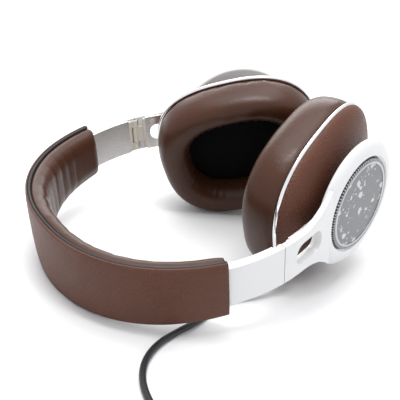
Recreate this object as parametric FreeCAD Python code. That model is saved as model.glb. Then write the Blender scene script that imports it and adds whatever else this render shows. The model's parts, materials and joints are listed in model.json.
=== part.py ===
"""Over ear headphones lying on their side, as an assembly of separate pieces.

Built standing square in a design frame and laid down at the end.  Design frame, in mm: X runs from the crown
of the headband to the ear cups, Y from the right cup to the left cup, and Z from the back to the front of the
head.  Every side piece is drawn for the right hand (-Y) side and mirrored for the left one.
"""
import FreeCAD, Part
import os
from math import acos, cos, degrees, hypot, pi, radians, sin, sqrt, tan

from FreeCAD import Placement, Rotation, Vector

# ---- driving dimensions, mm and degrees -------------------------------------------------------------
# headband outer curve: three tangent arcs each side of the crown, then straight
CROWN_RADIUS = 85.5
SHOULDER_RADIUS = 66.8
SIDE_RADIUS = 84.6
CROWN_TURN = 11.0
SHOULDER_TURN = 61.0
YOKE_TURN = 107.2
BAND_HALF_LENGTH = 97.0
BAND_HALF_WIDTH_CROWN = 18.6
BAND_HALF_WIDTH_MID = 16.3
BAND_HALF_WIDTH_END = 14.4
COVER_THICKNESS = 1.2
PAD_INNER_OFFSET = 10.6
PAD_EDGE_INSET = 1.2
PIPING_RADIUS = 0.9

# arms and their slide
ARM_OFFSET = 1.5
ARM_HALF_WIDTH = 10.3
ARM_SHELL_THICKNESS = 2.8
ARM_LINER_THICKNESS = 1.5
ARM_TAIL = 74.0
HINGE_STATION = 126.3
SEAM_GAP = 0.4
RECESS_START = 122.0
RECESS_END = 132.6
SLIDE_CLEARANCE = 0.3
SLEEVE_LENGTH = 7.0
SLIDE_IN = 10.0
SLIDE_OUT = 14.0

# fold hinge
HINGE_DEPTH = 4.2
PIN_RADIUS = 0.9
PIN_CLEARANCE = 0.05
KNUCKLE_RADIUS = 1.7
KNUCKLE_SPLIT = 5.0
KNUCKLE_END = 9.2
FOLD_LIMIT = 55.0
REST_FOLD = {"right": 0.0, "left": 3.0}

# yoke and its ring
RING_STATION = 186.3
RING_OPENING_RADIUS = 24.9
RING_RADIUS = 32.9
RING_DISH = 2.7
RING_THICKNESS = 4.4
NECK_FLARE_RADIUS = 30.0
SLOT_STATION = 143.7
SLOT_LENGTH = 18.5
SLOT_WIDTH = 11.5
SLOT_TAPER = 2.6
DISC_RADIUS = 21.0

# cup
PIVOT_DEPTH = 6.6
CUP_DEPTH = 15.1
CUP_HALF_LENGTH = 44.1
CUP_HALF_WIDTH = 38.7
CUP_SQUARENESS = 2.6
CUP_RAKE = 12.3
DOME_HEIGHT = 12.5
SHELL_WALL = 2.2
CUSHION_DEPTH = 21.6
CUSHION_INSET = 6.0
CUSHION_GAP = 0.5
CONTACT_SHIFT = -2.15
EAR_HALF_LENGTH = 27.5
EAR_HALF_WIDTH = 21.2
CUP_SWIVEL = {"right": 5.2, "left": 11.0}
CUP_TILT = {"right": -2.0, "left": 7.0}
SWIVEL_LIMIT = 11.2
TILT_LIMIT = 8.4

# how the headphones lie on the crown and on both ear cups, which are wider than the headband
LIE_TILT = 10.974
LIE_ROLL = 2.945

# lead: leaves the right cup, runs along the table under the arm, and ends in a neat coil and its plug
CORD_RADIUS = 1.5
CORD_ROUTE = (
    (8.67, -51.56, 10.13),
    (2.6, -51.34, 5.75),
    (-5.0, -49.5, 2.1),
    (-14.0, -48.3, 1.5),
    (-25.0, -51.8, 1.5),
    (-36.0, -56.4, 1.5),
    (-48.0, -58.8, 1.5),
    (-59.5, -62.2, 1.5),
    (-69.5, -69.0, 1.5),
    (-76.5, -79.0, 1.5),
    (-80.0, -91.0, 1.5),
    (-80.5, -104.0, 1.8),
    (-78.5, -116.0, 2.1),
)
TAIL_ROUTE = (
    (-101.0, -138.5, 5.1),
    (-111.5, -138.3, 4.5),
    (-121.0, -134.5, 3.9),
    (-127.3, -126.5, 3.6),
    (-129.6, -116.7, 3.6),
)
COIL_CENTRE = (-101.0, -116.0)
COIL_MEAN_RADIUS = 16.5
COIL_COLUMNS = 5
COIL_LAYERS = 2
COIL_TURNS = 10.25
TIE_THICKNESS = 0.6
TIE_WIDTH = 8.0
RELIEF_LENGTH = 11.0
RELIEF_ROOT_RADIUS = 2.3
RELIEF_ROOT_LENGTH = 4.0
RELIEF_WIDE_RADIUS = 2.9
PLUG_SLEEVE_LENGTH = 8.0
PLUG_BODY_LENGTH = 18.0
PLUG_BODY_RADIUS = 3.5
PLUG_PIN_RADIUS = 1.75
PLUG_PIN_LENGTH = 11.0
PLUG_TIP_LENGTH = 3.0

SIDES = ("right", "left")
UP = Vector(0, 0, 1)
FIT_GAP = 0.02


# ---- headband curve ---------------------------------------------------------------------------------
CROWN_END = CROWN_RADIUS * radians(CROWN_TURN)
SHOULDER_END = CROWN_END + SHOULDER_RADIUS * radians(SHOULDER_TURN - CROWN_TURN)
SIDE_END = SHOULDER_END + SIDE_RADIUS * radians(YOKE_TURN - SHOULDER_TURN)


def advance(x, y, heading, radius, turn):
    """Go along an arc that turns from the start heading towards the ear cups."""
    centre_x = x + radius * cos(heading)
    centre_y = y - radius * sin(heading)
    heading += turn
    return centre_x - radius * cos(heading), centre_y + radius * sin(heading), heading


def curve_state(station):
    """Point and heading at a distance from the crown along the outer curve, on the positive side."""
    x = y = heading = 0.0
    left = station
    arcs = (
        (CROWN_RADIUS, radians(CROWN_TURN)),
        (SHOULDER_RADIUS, radians(SHOULDER_TURN - CROWN_TURN)),
        (SIDE_RADIUS, radians(YOKE_TURN - SHOULDER_TURN)),
    )
    for radius, turn in arcs:
        part_turn = min(turn, left / radius)
        x, y, heading = advance(x, y, heading, radius, part_turn)
        left -= radius * part_turn
        if left <= 1e-9:
            return x, y, heading
    return x + left * sin(heading), y + left * cos(heading), heading


def curve_point(station, offset, z=0.0):
    """Point at a signed station (negative on the right) and an offset inwards from the outer curve."""
    side = -1.0 if station < 0 else 1.0
    x, y, heading = curve_state(abs(station))
    return Vector(x + offset * cos(heading), side * (y - offset * sin(heading)), z)


def curve_edges(start, end, offset, z):
    """Arcs and straight runs of the curve between two signed stations."""
    marks = [start, end]
    for bend in (CROWN_END, SHOULDER_END, SIDE_END):
        marks += [mark for mark in (-bend, bend) if start < mark < end]
    marks.sort()
    edges = []
    for low, high in zip(marks, marks[1:]):
        first, middle, last = (curve_point(s, offset, z) for s in (low, 0.5 * (low + high), high))
        if min(abs(low), abs(high)) >= SIDE_END - 1e-6:
            edges.append(Part.LineSegment(first, last).toShape())
        else:
            edges.append(Part.Arc(first, middle, last).toShape())
    return edges


def strip(start, end, outer, inner, low, high):
    """Curved plate between two stations, two offsets and two heights."""
    outside = curve_edges(start, end, outer, low)
    inside = curve_edges(start, end, inner, low)
    caps = [
        Part.LineSegment(curve_point(s, outer, low), curve_point(s, inner, low)).toShape()
        for s in (start, end)
    ]
    wire = Part.Wire(Part.__sortEdges__(outside + caps + inside))
    return Part.Face(wire).extrude(Vector(0, 0, high - low))


def end_x(station):
    """How far the curve has gone from the crown at a station."""
    return curve_state(station)[0]


def band_outline(inset, depth_y):
    """Prism that trims the headband: widest at the crown, narrower towards its ends."""
    back_x = -20.0
    tip_x = end_x(BAND_HALF_LENGTH) + 30.0
    slope = (BAND_HALF_WIDTH_MID - BAND_HALF_WIDTH_END) / (end_x(BAND_HALF_LENGTH) - end_x(50.0))
    tip_half = BAND_HALF_WIDTH_END - slope * 30.0 - inset
    crown_half = BAND_HALF_WIDTH_CROWN - inset
    mid = (end_x(50.0), BAND_HALF_WIDTH_MID - inset)

    def at(x, z):
        return Vector(x, -depth_y, z)

    edges = [Part.LineSegment(at(back_x, -crown_half), at(back_x, crown_half)).toShape()]
    for sign in (1, -1):
        blend = Part.Arc(
            at(0.0, sign * crown_half),
            at(0.4 * mid[0], sign * (mid[1] + 0.45 * (crown_half - mid[1]))),
            at(mid[0], sign * mid[1]),
        )
        edges.append(Part.LineSegment(at(back_x, sign * crown_half), at(0.0, sign * crown_half)).toShape())
        edges.append(blend.toShape())
        edges.append(Part.LineSegment(at(mid[0], sign * mid[1]), at(tip_x, sign * tip_half)).toShape())
    edges.append(Part.LineSegment(at(tip_x, -tip_half), at(tip_x, tip_half)).toShape())
    wire = Part.Wire(Part.__sortEdges__(edges))
    return Part.Face(wire).extrude(Vector(0, 2 * depth_y, 0))


def mirrored(shape):
    """Left hand copy of a right hand shape."""
    return shape.mirror(Vector(0, 0, 0), Vector(0, 1, 0))


# ---- headband ---------------------------------------------------------------------------------------
WIDE = 30.0
BAND_DEPTH = 90.0
POCKET_DEPTH = ARM_OFFSET + ARM_SHELL_THICKNESS + ARM_LINER_THICKNESS
POCKET_FLOOR = POCKET_DEPTH + SLIDE_CLEARANCE
CARRIER_INSET = 2.4
POCKET_HALF_WIDTH = ARM_HALF_WIDTH + 0.4
WEB_END = 60.0
SPRING_THICKNESS = 0.8
SPRING_HALF_WIDTH = 8.0
RIVET_RADIUS = 1.6
RIVET_STATIONS = (-52.0, -26.0, 0.0, 26.0, 52.0)


def headband_cover():
    """Outer leather, with the steel and the frame behind it."""
    length = BAND_HALF_LENGTH
    plate = strip(-length, length, 0.0, COVER_THICKNESS, -WIDE, WIDE)
    return plate.common(band_outline(0.0, BAND_DEPTH))


def headband_pad():
    """Padded inner leather: a closed body with rounded inner edges."""
    length = BAND_HALF_LENGTH - 0.4
    plate = strip(-length, length, POCKET_FLOOR, PAD_INNER_OFFSET, -WIDE, WIDE)
    body = plate.common(band_outline(PAD_EDGE_INSET, BAND_DEPTH))
    step = strip(-length, length, PAD_INNER_OFFSET - 1.6, PAD_INNER_OFFSET + 1.0, -WIDE, WIDE)
    narrow = band_outline(PAD_EDGE_INSET + 2.4, BAND_DEPTH)
    return body.cut(step.cut(narrow)).removeSplitter()


def headband_frame():
    """Plastic carrier: a web across the crown and two rails beside each arm."""
    length = BAND_HALF_LENGTH - SLEEVE_LENGTH - 0.7
    top = COVER_THICKNESS + FIT_GAP
    plate = strip(-length, length, top, POCKET_FLOOR - FIT_GAP, -WIDE, WIDE)
    body = plate.common(band_outline(CARRIER_INSET, BAND_DEPTH))
    for sign in (-1, 1):
        low, high = sorted((sign * WEB_END, sign * (length + 5.0)))
        pocket = strip(low, high, 0.0, POCKET_FLOOR + 1.0, -POCKET_HALF_WIDTH, POCKET_HALF_WIDTH)
        body = body.cut(pocket)
    groove = strip(
        -WEB_END, WEB_END, 0.0, top + SPRING_THICKNESS + FIT_GAP, -SPRING_HALF_WIDTH - 0.1, SPRING_HALF_WIDTH + 0.1
    )
    body = body.cut(groove)
    return body.cut(rivets(RIVET_RADIUS + FIT_GAP))


def headband_spring():
    """Sprung steel strip that gives the clamping force."""
    top = COVER_THICKNESS + FIT_GAP
    length = WEB_END - 0.5
    plate = strip(-length, length, top, top + SPRING_THICKNESS, -SPRING_HALF_WIDTH, SPRING_HALF_WIDTH)
    return plate.cut(rivets(RIVET_RADIUS + FIT_GAP))


def rivets(radius):
    """Rivets through the steel strip and the frame's web."""
    top = COVER_THICKNESS + 2 * FIT_GAP
    solids = []
    for station in RIVET_STATIONS:
        foot = curve_point(station, top)
        head = curve_point(station, POCKET_FLOOR - 2 * FIT_GAP)
        solids.append(Part.makeCylinder(radius, (head - foot).Length, foot, head - foot))
    return Part.Compound(solids)


def edge_piping(sign):
    """Round piping along one long edge of the leather."""
    length = BAND_HALF_LENGTH
    bead = strip(-length, length, COVER_THICKNESS + 0.1, COVER_THICKNESS + 2 * PIPING_RADIUS, -WIDE, WIDE)
    outer = band_outline(0.0, BAND_DEPTH)
    inner = band_outline(PAD_EDGE_INSET - 0.05, BAND_DEPTH)
    half = Part.makeBox(2 * BAND_DEPTH, 2 * BAND_DEPTH, WIDE, Vector(-20, -BAND_DEPTH, 0 if sign > 0 else -WIDE))
    return bead.common(outer.cut(inner)).common(half)


def guide_sleeve():
    """Plastic sleeve at the band's right end, in which the arm slides."""
    start = -(BAND_HALF_LENGTH - 0.6)
    end = start + SLEEVE_LENGTH
    half = BAND_HALF_WIDTH_END - CARRIER_INSET - 0.1
    body = strip(start, end, COVER_THICKNESS + FIT_GAP, POCKET_FLOOR - FIT_GAP, -half, half)
    hole = strip(start - 1, end + 1, 0.0, POCKET_FLOOR + 1.0, -ARM_HALF_WIDTH - 0.3, ARM_HALF_WIDTH + 0.3)
    return body.cut(hole)


# ---- arm and fold hinge -----------------------------------------------------------------------------
ARM_SHELL_INNER = ARM_OFFSET + ARM_SHELL_THICKNESS
LINER_INNER = ARM_SHELL_INNER + ARM_LINER_THICKNESS
HINGE_OFFSET = ARM_OFFSET - 1.5 + HINGE_DEPTH


def hinge_cylinder(radius, low, high):
    """Cylinder about the right hand fold axis."""
    foot = curve_point(-HINGE_STATION, HINGE_OFFSET, low)
    return Part.makeCylinder(radius, high - low, foot, UP)


def knuckle_room():
    """Room for the barrels in the white shells, which keep a cheek at each edge."""
    return hinge_cylinder(KNUCKLE_RADIUS + 0.35, -KNUCKLE_END - 0.15, KNUCKLE_END + 0.15)


def arm_shell():
    """White curved arm: its tail runs in the headband."""
    body = strip(
        -HINGE_STATION + 0.5 * SEAM_GAP, -ARM_TAIL, ARM_OFFSET, ARM_SHELL_INNER - FIT_GAP,
        -ARM_HALF_WIDTH, ARM_HALF_WIDTH,
    )
    return body.cut(knuckle_room())


def arm_liner():
    """Brushed metal plate on the arm's inner face."""
    half = ARM_HALF_WIDTH - 0.3
    return strip(-RECESS_START, -ARM_TAIL, ARM_SHELL_INNER, LINER_INNER, -half, half)


def detent_spring():
    """Bent spring leaf in a window of the liner's tail, which clicks in the headband's notches."""
    outer = strip(-ARM_TAIL - 9.0, -ARM_TAIL - 1.5, ARM_SHELL_INNER + 0.4, ARM_SHELL_INNER + 0.9, -4.0, 4.0)
    return outer


def detent_window():
    return strip(-ARM_TAIL - 9.2, -ARM_TAIL - 1.3, ARM_SHELL_INNER - 0.01, ARM_SHELL_INNER + 0.92, -4.2, 4.2)


def knuckle(low, high, reach):
    """Barrel about the fold axis with a web that runs to a station."""
    barrel = hinge_cylinder(KNUCKLE_RADIUS, low, high)
    start, end = sorted((-HINGE_STATION, -reach))
    web = strip(start, end, HINGE_OFFSET - 0.6, HINGE_OFFSET + 1.1, low, high)
    return barrel.fuse(web)


def hinge_block():
    """Cream knuckle block on the arm: two outer barrels and a foot against the liner's end."""
    foot = strip(
        -RECESS_START - 1.6, -RECESS_START - FIT_GAP, ARM_SHELL_INNER, LINER_INNER, -KNUCKLE_END, KNUCKLE_END
    )
    body = foot
    for low, high in ((-KNUCKLE_END, -KNUCKLE_SPLIT), (KNUCKLE_SPLIT, KNUCKLE_END)):
        body = body.fuse(knuckle(low, high, RECESS_START + 1.0))
    body = body.cut(strip(-HINGE_STATION - 3, -RECESS_START, 0.0, ARM_SHELL_INNER, -WIDE, WIDE))
    barrels = [
        hinge_cylinder(KNUCKLE_RADIUS, low, high)
        for low, high in ((-KNUCKLE_END, -KNUCKLE_SPLIT), (KNUCKLE_SPLIT, KNUCKLE_END))
    ]
    for barrel in barrels:
        body = body.fuse(barrel)
    body = body.cut(hinge_cylinder(PIN_RADIUS + FIT_GAP, -WIDE, WIDE))
    return body.removeSplitter()


def hinge_lever():
    """Cream lever on the yoke: the middle barrel and its foot."""
    inner_half = KNUCKLE_SPLIT - 0.3
    foot = strip(
        -RECESS_END + FIT_GAP, -RECESS_END + 1.6, ARM_SHELL_INNER, LINER_INNER, -KNUCKLE_END, KNUCKLE_END
    )
    web = strip(-RECESS_END + 1.0, -HINGE_STATION, ARM_SHELL_INNER, HINGE_OFFSET + 1.1, -inner_half, inner_half)
    body = foot.fuse(web).fuse(hinge_cylinder(KNUCKLE_RADIUS, -inner_half, inner_half))
    body = body.cut(hinge_cylinder(PIN_RADIUS + PIN_CLEARANCE, -WIDE, WIDE))
    return body.removeSplitter()


def hinge_pin():
    return hinge_cylinder(PIN_RADIUS, -KNUCKLE_END, KNUCKLE_END)


# ---- yoke -------------------------------------------------------------------------------------------
def ring_frame():
    """Frame of the right ring: x along the yoke, y to the front of the head, z outwards."""
    along = Vector(sin(radians(YOKE_TURN)), -cos(radians(YOKE_TURN)), 0)
    outwards = along.cross(UP)
    centre = curve_point(-RING_STATION, ARM_OFFSET)
    return Placement(centre, Rotation(along, UP, outwards, "XZY"))


def placed(shape, placement):
    copy = shape.copy()
    copy.Placement = placement.multiply(copy.Placement)
    return copy


def tube(inner, outer, low, high):
    """Plain ring about the local z axis."""
    body = Part.makeCylinder(outer, high - low, Vector(0, 0, low))
    if inner:
        body = body.cut(Part.makeCylinder(inner, high - low + 2, Vector(0, 0, low - 1)))
    return body


def flared_outline(low, high):
    """Neck outline that flares from the arm's width into the ring, as a prism."""
    half = ARM_HALF_WIDTH
    reach = RING_RADIUS + NECK_FLARE_RADIUS
    centre_y = half + NECK_FLARE_RADIUS
    centre_x = -sqrt(reach**2 - centre_y**2)
    touch = RING_RADIUS / reach
    end = (centre_x * touch, centre_y * touch)
    away = hypot(end[0] - centre_x, end[1] - centre_y)
    middle_angle = 0.5 * acos((centre_y - end[1]) / away)
    middle = (centre_x + away * sin(middle_angle), centre_y - away * cos(middle_angle))
    tail = -(RING_STATION - HINGE_STATION) - 6.0

    def at(x, y):
        return Vector(x, y, low)

    edges = [
        Part.LineSegment(at(tail, -half), at(tail, half)).toShape(),
        Part.LineSegment(at(end[0], -end[1]), at(end[0], end[1])).toShape(),
    ]
    for sign in (1, -1):
        edges.append(Part.LineSegment(at(tail, sign * half), at(centre_x, sign * half)).toShape())
        flare = Part.Arc(
            at(centre_x, sign * half), at(middle[0], sign * middle[1]), at(end[0], sign * end[1])
        )
        edges.append(flare.toShape())
    return Part.Face(Part.Wire(Part.__sortEdges__(edges))).extrude(Vector(0, 0, high - low))


def rounded_slot(length, width, z):
    """Rounded rectangle wire about the slot's place in the neck."""
    centre = SLOT_STATION - RING_STATION
    corner = 0.42 * width
    half_x = 0.5 * length
    half_y = 0.5 * width
    edges = []
    for sign_x, sign_y, next_x, next_y in ((1, 1, -1, 1), (-1, 1, -1, -1), (-1, -1, 1, -1), (1, -1, 1, 1)):
        corner_centre = Vector(centre + sign_x * (half_x - corner), sign_y * (half_y - corner), z)
        to_x = corner_centre + Vector(sign_x * corner, 0, 0)
        to_y = corner_centre + Vector(0, sign_y * corner, 0)
        diagonal = corner_centre + Vector(sign_x, sign_y, 0) * (corner * sqrt(0.5))
        edges.append(Part.Arc(to_x, diagonal, to_y).toShape())
        next_centre = Vector(centre + next_x * (half_x - corner), next_y * (half_y - corner), z)
        if next_x != sign_x:
            leave, arrive = to_y, next_centre + Vector(0, next_y * corner, 0)
        else:
            leave, arrive = to_x, next_centre + Vector(next_x * corner, 0, 0)
        edges.append(Part.LineSegment(leave, arrive).toShape())
    return Part.Wire(Part.__sortEdges__(edges))


def slot_cut():
    """Slot with sloping walls, wide at the outer face."""
    mouth = rounded_slot(SLOT_LENGTH + 1.0, SLOT_WIDTH + 1.0, 1.0)
    throat = rounded_slot(SLOT_LENGTH - SLOT_TAPER - 1.0, SLOT_WIDTH - SLOT_TAPER - 1.0, -RING_THICKNESS - 2.0)
    return Part.makeLoft([mouth, throat], True, True)


def ring_body():
    """Dished ring about the local z axis."""
    top = Vector(RING_OPENING_RADIUS, 0, 0)
    crest = Vector(0.5 * (RING_OPENING_RADIUS + RING_RADIUS) + 0.8, 0, -0.27 * RING_DISH)
    lip = Vector(RING_RADIUS - 0.2, 0, -RING_DISH)
    rim = Vector(RING_RADIUS - 0.3, 0, -0.5 * (RING_DISH + RING_THICKNESS))
    foot = Vector(RING_RADIUS - 1.6, 0, -RING_THICKNESS)
    inner_foot = Vector(RING_OPENING_RADIUS, 0, -RING_THICKNESS)
    edges = [
        Part.Arc(top, crest, lip).toShape(),
        Part.Arc(lip, rim, foot).toShape(),
        Part.LineSegment(foot, inner_foot).toShape(),
        Part.LineSegment(inner_foot, top).toShape(),
    ]
    face = Part.Face(Part.Wire(Part.__sortEdges__(edges)))
    return face.revolve(Vector(0, 0, 0), UP, 360)


def yoke():
    """White yoke: the neck from the fold hinge and the ring, in one piece."""
    frame = ring_frame()
    neck = strip(
        -RING_STATION, -HINGE_STATION - 0.5 * SEAM_GAP, ARM_OFFSET, ARM_SHELL_INNER - FIT_GAP, -WIDE, WIDE
    )
    neck = neck.common(placed(flared_outline(-9.0, 9.0), frame))
    opening = placed(tube(0, RING_OPENING_RADIUS, -9.0, 9.0), frame)
    body = neck.cut(opening).fuse(placed(ring_body(), frame))
    body = body.cut(placed(slot_cut(), frame))
    body = body.cut(knuckle_room())
    return body.removeSplitter()


def yoke_liner():
    """Brushed metal plate on the neck's inner face, up to the ring."""
    frame = ring_frame()
    plate = strip(-RING_STATION, -RECESS_END, ARM_SHELL_INNER, LINER_INNER, -WIDE, WIDE)
    outline = flared_outline(-9.0, 9.0)
    inner = outline.common(Part.makeBox(80, 2 * ARM_HALF_WIDTH - 0.6, 18, Vector(-80, -ARM_HALF_WIDTH + 0.3, -9)))
    plate = plate.common(placed(inner, frame))
    plate = plate.cut(placed(tube(0, RING_RADIUS + 0.2, -9.0, 9.0), frame))
    return plate.cut(placed(slot_cut(), frame))


PLATE_TOP = -1.3
PLATE_BOTTOM = -2.3
LUG_INNER = 8.4
LUG_OUTER = 11.6
LUG_WIDTH = 5.0
LUG_RISE = 1.78
TRUNNION_RADIUS = 1.2
TRUNNION_END = 11.4
GIMBAL_INNER = 4.5
GIMBAL_OUTER = 8.0
GIMBAL_HALF_THICKNESS = 1.5
KNURL_COUNT = 72


def lug_pair(base, axis_height, top, along_x):
    """Two lugs with a cross hole, from a base height to the top."""
    lugs = []
    for sign in (-1, 1):
        low = min(sign * LUG_INNER, sign * LUG_OUTER)
        size = LUG_OUTER - LUG_INNER
        if along_x:
            lug = Part.makeBox(size, LUG_WIDTH, top - base, Vector(low, -0.5 * LUG_WIDTH, base))
        else:
            lug = Part.makeBox(LUG_WIDTH, size, top - base, Vector(-0.5 * LUG_WIDTH, low, base))
        lugs.append(lug)
    axis = Vector(1, 0, 0) if along_x else Vector(0, 1, 0)
    hole = Part.makeCylinder(TRUNNION_RADIUS + PIN_CLEARANCE, 60, axis * -30 + Vector(0, 0, axis_height), axis)
    return [lug.cut(hole) for lug in lugs]


def pivot_plate():
    """Plate across the ring's opening, with the two lugs that hold the gimbal."""
    plate = tube(0, RING_OPENING_RADIUS - FIT_GAP, PLATE_BOTTOM, PLATE_TOP)
    for lug in lug_pair(-PIVOT_DEPTH - LUG_RISE, -PIVOT_DEPTH, PLATE_BOTTOM, False):
        plate = plate.fuse(lug)
    return placed(plate.removeSplitter(), ring_frame())


def bezel_ring():
    """Bevelled grey ring inside the white one."""
    outer = RING_OPENING_RADIUS - FIT_GAP
    inner = outer - 1.3
    profile = [
        Vector(inner, 0, PLATE_TOP), Vector(outer, 0, PLATE_TOP), Vector(outer, 0, -0.2), Vector(inner, 0, -0.9)
    ]
    face = Part.Face(Part.makePolygon(profile + profile[:1]))
    return placed(face.revolve(Vector(0, 0, 0), UP, 360), ring_frame())


def knurled_ring():
    """Dark ring with a fine knurl of grooves along its axis."""
    outer = RING_OPENING_RADIUS - 1.35
    inner = DISC_RADIUS + 1.3
    body = tube(inner, outer, PLATE_TOP, 0.2)
    groove = Part.makeCylinder(0.22, 3.0, Vector(outer + 0.05, 0, PLATE_TOP + 0.3))
    grooves = []
    for index in range(KNURL_COUNT):
        copy = groove.copy()
        copy.rotate(Vector(0, 0, 0), UP, index * 360.0 / KNURL_COUNT)
        grooves.append(copy)
    return placed(body.cut(Part.Compound(grooves)), ring_frame())


def disc_rim():
    """Chrome rim about the disc."""
    inner = DISC_RADIUS
    outer = DISC_RADIUS + 1.25
    profile = [
        Vector(inner, 0, PLATE_TOP), Vector(outer, 0, PLATE_TOP), Vector(outer, 0, 0.3),
        Vector(outer - 0.4, 0, 0.7), Vector(inner + 0.3, 0, 0.7), Vector(inner, 0, 0.4),
    ]
    face = Part.Face(Part.makePolygon(profile + profile[:1]))
    return placed(face.revolve(Vector(0, 0, 0), UP, 360), ring_frame())


def disc():
    """Flat disc in the middle of the ring."""
    return placed(tube(0, DISC_RADIUS - FIT_GAP, PLATE_TOP, 0.2), ring_frame())


# ---- gimbal and cup ---------------------------------------------------------------------------------
def folded(side):
    """How far that side's yoke is turned in about its fold hinge as it lies."""
    turn = Rotation(UP, REST_FOLD[side])
    return Placement(Vector(0, 0, 0), turn, curve_point(-HINGE_STATION, HINGE_OFFSET))


def gimbal_frame(side):
    """Frame at the pivot, turned by the swivel of that side."""
    swivel = Placement(Vector(0, 0, -PIVOT_DEPTH), Rotation(Vector(0, 1, 0), CUP_SWIVEL[side]))
    return folded(side).multiply(ring_frame()).multiply(swivel)


def hub_frame(side):
    """Frame of the cup without its rake; its z = 0 plane is the trim ring's plane."""
    tilt = Placement(Vector(0, 0, 0), Rotation(Vector(1, 0, 0), -CUP_TILT[side]))
    drop = Placement(Vector(0, 0, -CUP_DEPTH), Rotation())
    return gimbal_frame(side).multiply(tilt).multiply(drop)


def cup_frame(side):
    """Frame of the raked oval of the cup."""
    return hub_frame(side).multiply(Placement(Vector(0, 0, 0), Rotation(UP, CUP_RAKE)))


def gimbal():
    """Small ring with four trunnions: two in the yoke's lugs and two in the cup's."""
    body = tube(GIMBAL_INNER, GIMBAL_OUTER, -GIMBAL_HALF_THICKNESS, GIMBAL_HALF_THICKNESS)
    for axis in (Vector(1, 0, 0), Vector(0, 1, 0)):
        for sign in (-1, 1):
            start = axis * (sign * (GIMBAL_OUTER - 0.6))
            length = TRUNNION_END - GIMBAL_OUTER + 0.6
            body = body.fuse(Part.makeCylinder(TRUNNION_RADIUS, length, start, axis * sign))
    return body.removeSplitter()


def oval_wire(half_length, half_width, z):
    """Closed superellipse."""
    points = []
    count = 32
    power = 2.0 / CUP_SQUARENESS
    for index in range(count):
        angle = 2 * pi * index / count
        c, s = cos(angle), sin(angle)
        x = half_length * abs(c) ** power * (1 if c >= 0 else -1)
        y = half_width * abs(s) ** power * (1 if s >= 0 else -1)
        points.append(Vector(x, y, z))
    spline = Part.BSplineCurve()
    spline.interpolate(Points=points, PeriodicFlag=True)
    return Part.Wire([spline.toShape()])


def oval_prism(half_length, half_width, low, high):
    return Part.Face(oval_wire(half_length, half_width, low)).extrude(Vector(0, 0, high - low))


def oval_loft(sections):
    return Part.makeLoft([oval_wire(*section) for section in sections], True, False)


def dome(half_length, half_width, height, base):
    """Elliptical dome on the cup's oval."""
    sections = []
    for share in (1.0, 0.985, 0.94, 0.86, 0.74, 0.58, 0.4):
        z = base + height * sqrt(1 - share**2)
        sections.append((half_length * share, half_width * share, z))
    return oval_loft(sections)


TRIM_HALF = 1.0
HUB_RADIUS = 15.0
HUB_WALL = 1.4
HUB_FLOOR = 6.6
HUB_FLOOR_THICKNESS = 1.6
BAFFLE_TOP = -1.6
BAFFLE_THICKNESS = 2.4
DRIVER_RADIUS = 18.0
SCREW_RADIUS = 1.3
SCREW_PLACES = ((29.0, 20.0), (-29.0, 20.0), (-29.0, -20.0), (29.0, -20.0))


def cup_shell():
    """Leather covered dome of the cup, open for the hub in the middle."""
    half_length = CUP_HALF_LENGTH - 0.3
    half_width = CUP_HALF_WIDTH - 0.3
    outer = dome(half_length, half_width, DOME_HEIGHT - TRIM_HALF, TRIM_HALF)
    inner = dome(half_length - SHELL_WALL, half_width - SHELL_WALL, DOME_HEIGHT - TRIM_HALF - SHELL_WALL, TRIM_HALF)
    inner = inner.fuse(oval_prism(half_length - SHELL_WALL, half_width - SHELL_WALL, TRIM_HALF - 2, TRIM_HALF + 0.01))
    hole = tube(0, HUB_RADIUS, 0, 40)
    return outer.cut(inner).cut(hole)


def cup_hub():
    """Insert in the dome with the lugs for the gimbal."""
    wall = tube(HUB_RADIUS - HUB_WALL, HUB_RADIUS - FIT_GAP, HUB_FLOOR - HUB_FLOOR_THICKNESS, DOME_HEIGHT - 1.3)
    floor = tube(0, HUB_RADIUS - HUB_WALL + 0.1, HUB_FLOOR - HUB_FLOOR_THICKNESS, HUB_FLOOR)
    flange = tube(HUB_RADIUS - 1.0, HUB_RADIUS + 2.4, HUB_FLOOR - HUB_FLOOR_THICKNESS, HUB_FLOOR)
    body = wall.fuse(floor).fuse(flange)
    for lug in lug_pair(HUB_FLOOR, CUP_DEPTH, CUP_DEPTH + LUG_RISE, True):
        body = body.fuse(lug)
    return body.removeSplitter()


def trim_ring():
    """Bright trim between the shell and the cushion."""
    outer = oval_prism(CUP_HALF_LENGTH + 0.6, CUP_HALF_WIDTH + 0.6, -TRIM_HALF, TRIM_HALF)
    inner = oval_prism(CUP_HALF_LENGTH - SHELL_WALL, CUP_HALF_WIDTH - SHELL_WALL, -TRIM_HALF - 1, TRIM_HALF + 1)
    return outer.cut(inner)


def screw_holes(radius, low, high):
    return Part.Compound([Part.makeCylinder(radius, high - low, Vector(x, y, low)) for x, y in SCREW_PLACES])


def baffle():
    """Plate that carries the driver and closes the shell."""
    plate = oval_prism(CUP_HALF_LENGTH - 2.4, CUP_HALF_WIDTH - 2.4, BAFFLE_TOP - BAFFLE_THICKNESS, BAFFLE_TOP)
    edge = oval_prism(CUP_HALF_LENGTH - 2.4, CUP_HALF_WIDTH - 2.4, BAFFLE_TOP, 0.6)
    edge = edge.cut(oval_prism(CUP_HALF_LENGTH - 4.0, CUP_HALF_WIDTH - 4.0, BAFFLE_TOP - 1, 2.0))
    body = plate.fuse(edge)
    body = body.cut(tube(0, DRIVER_RADIUS + FIT_GAP, -20, 20))
    return body.cut(screw_holes(SCREW_RADIUS + FIT_GAP, -20, 20)).removeSplitter()


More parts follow.
